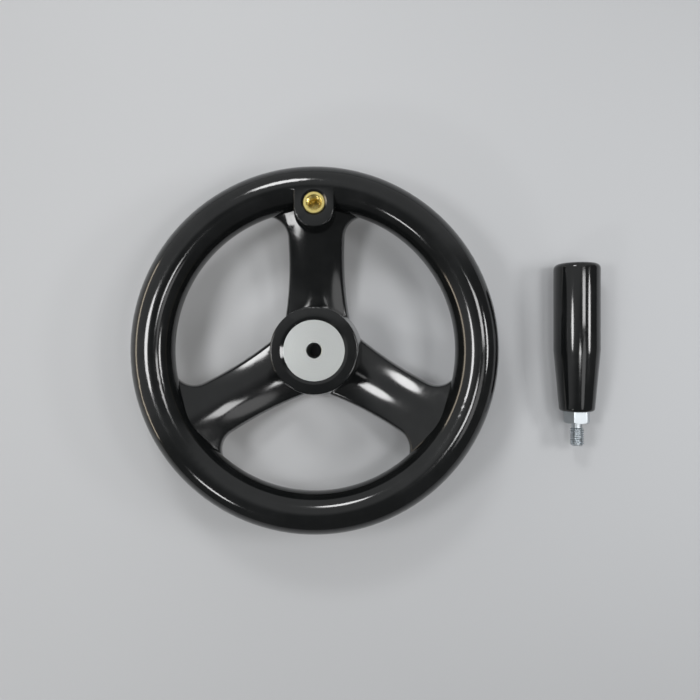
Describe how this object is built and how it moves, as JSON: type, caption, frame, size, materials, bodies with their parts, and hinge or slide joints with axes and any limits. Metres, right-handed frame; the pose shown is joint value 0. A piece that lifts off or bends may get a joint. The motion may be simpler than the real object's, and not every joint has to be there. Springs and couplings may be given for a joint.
{
  "type": "machine handwheel",
  "caption": "Moulded spoked handwheel with a steel pilot-bored hub bush and a brass handle insert, its tapered revolving handle unscrewed and lying beside it.",
  "frame": {"origin": "on the axis of the hub bore, in the hub's back face, which the wheel rests on", "axes": "+Z along the bore to the wheel's front; +Y from the bore to the handle's boss; +X to the loose handle"},
  "size_m": [0.2626, 0.2, 0.046],
  "materials": {
    "wheel_plastic": "polished black thermoset",
    "bush_steel": "fine turned face",
    "insert_brass": "turned",
    "grip_plastic": "polished black thermoset",
    "zinc_steel": "zinc plated, blue passivated",
    "spring_steel": "plain spring wire"
  },
  "bodies": {
    "wheel": {"wheel_body": "wheel_plastic", "hub_bush": "bush_steel", "handle_insert": "insert_brass", "spindle": "zinc_steel", "retaining_ring": "spring_steel"},
    "grip": {"grip": "grip_plastic"}
  },
  "joints": [
    {"name": "grip_spin", "type": "hinge", "parent": "wheel", "child": "grip", "pos_m": [0.1496, 0.01, 0.013], "axis": [0, 1, 0], "continuous": true}
  ]
}
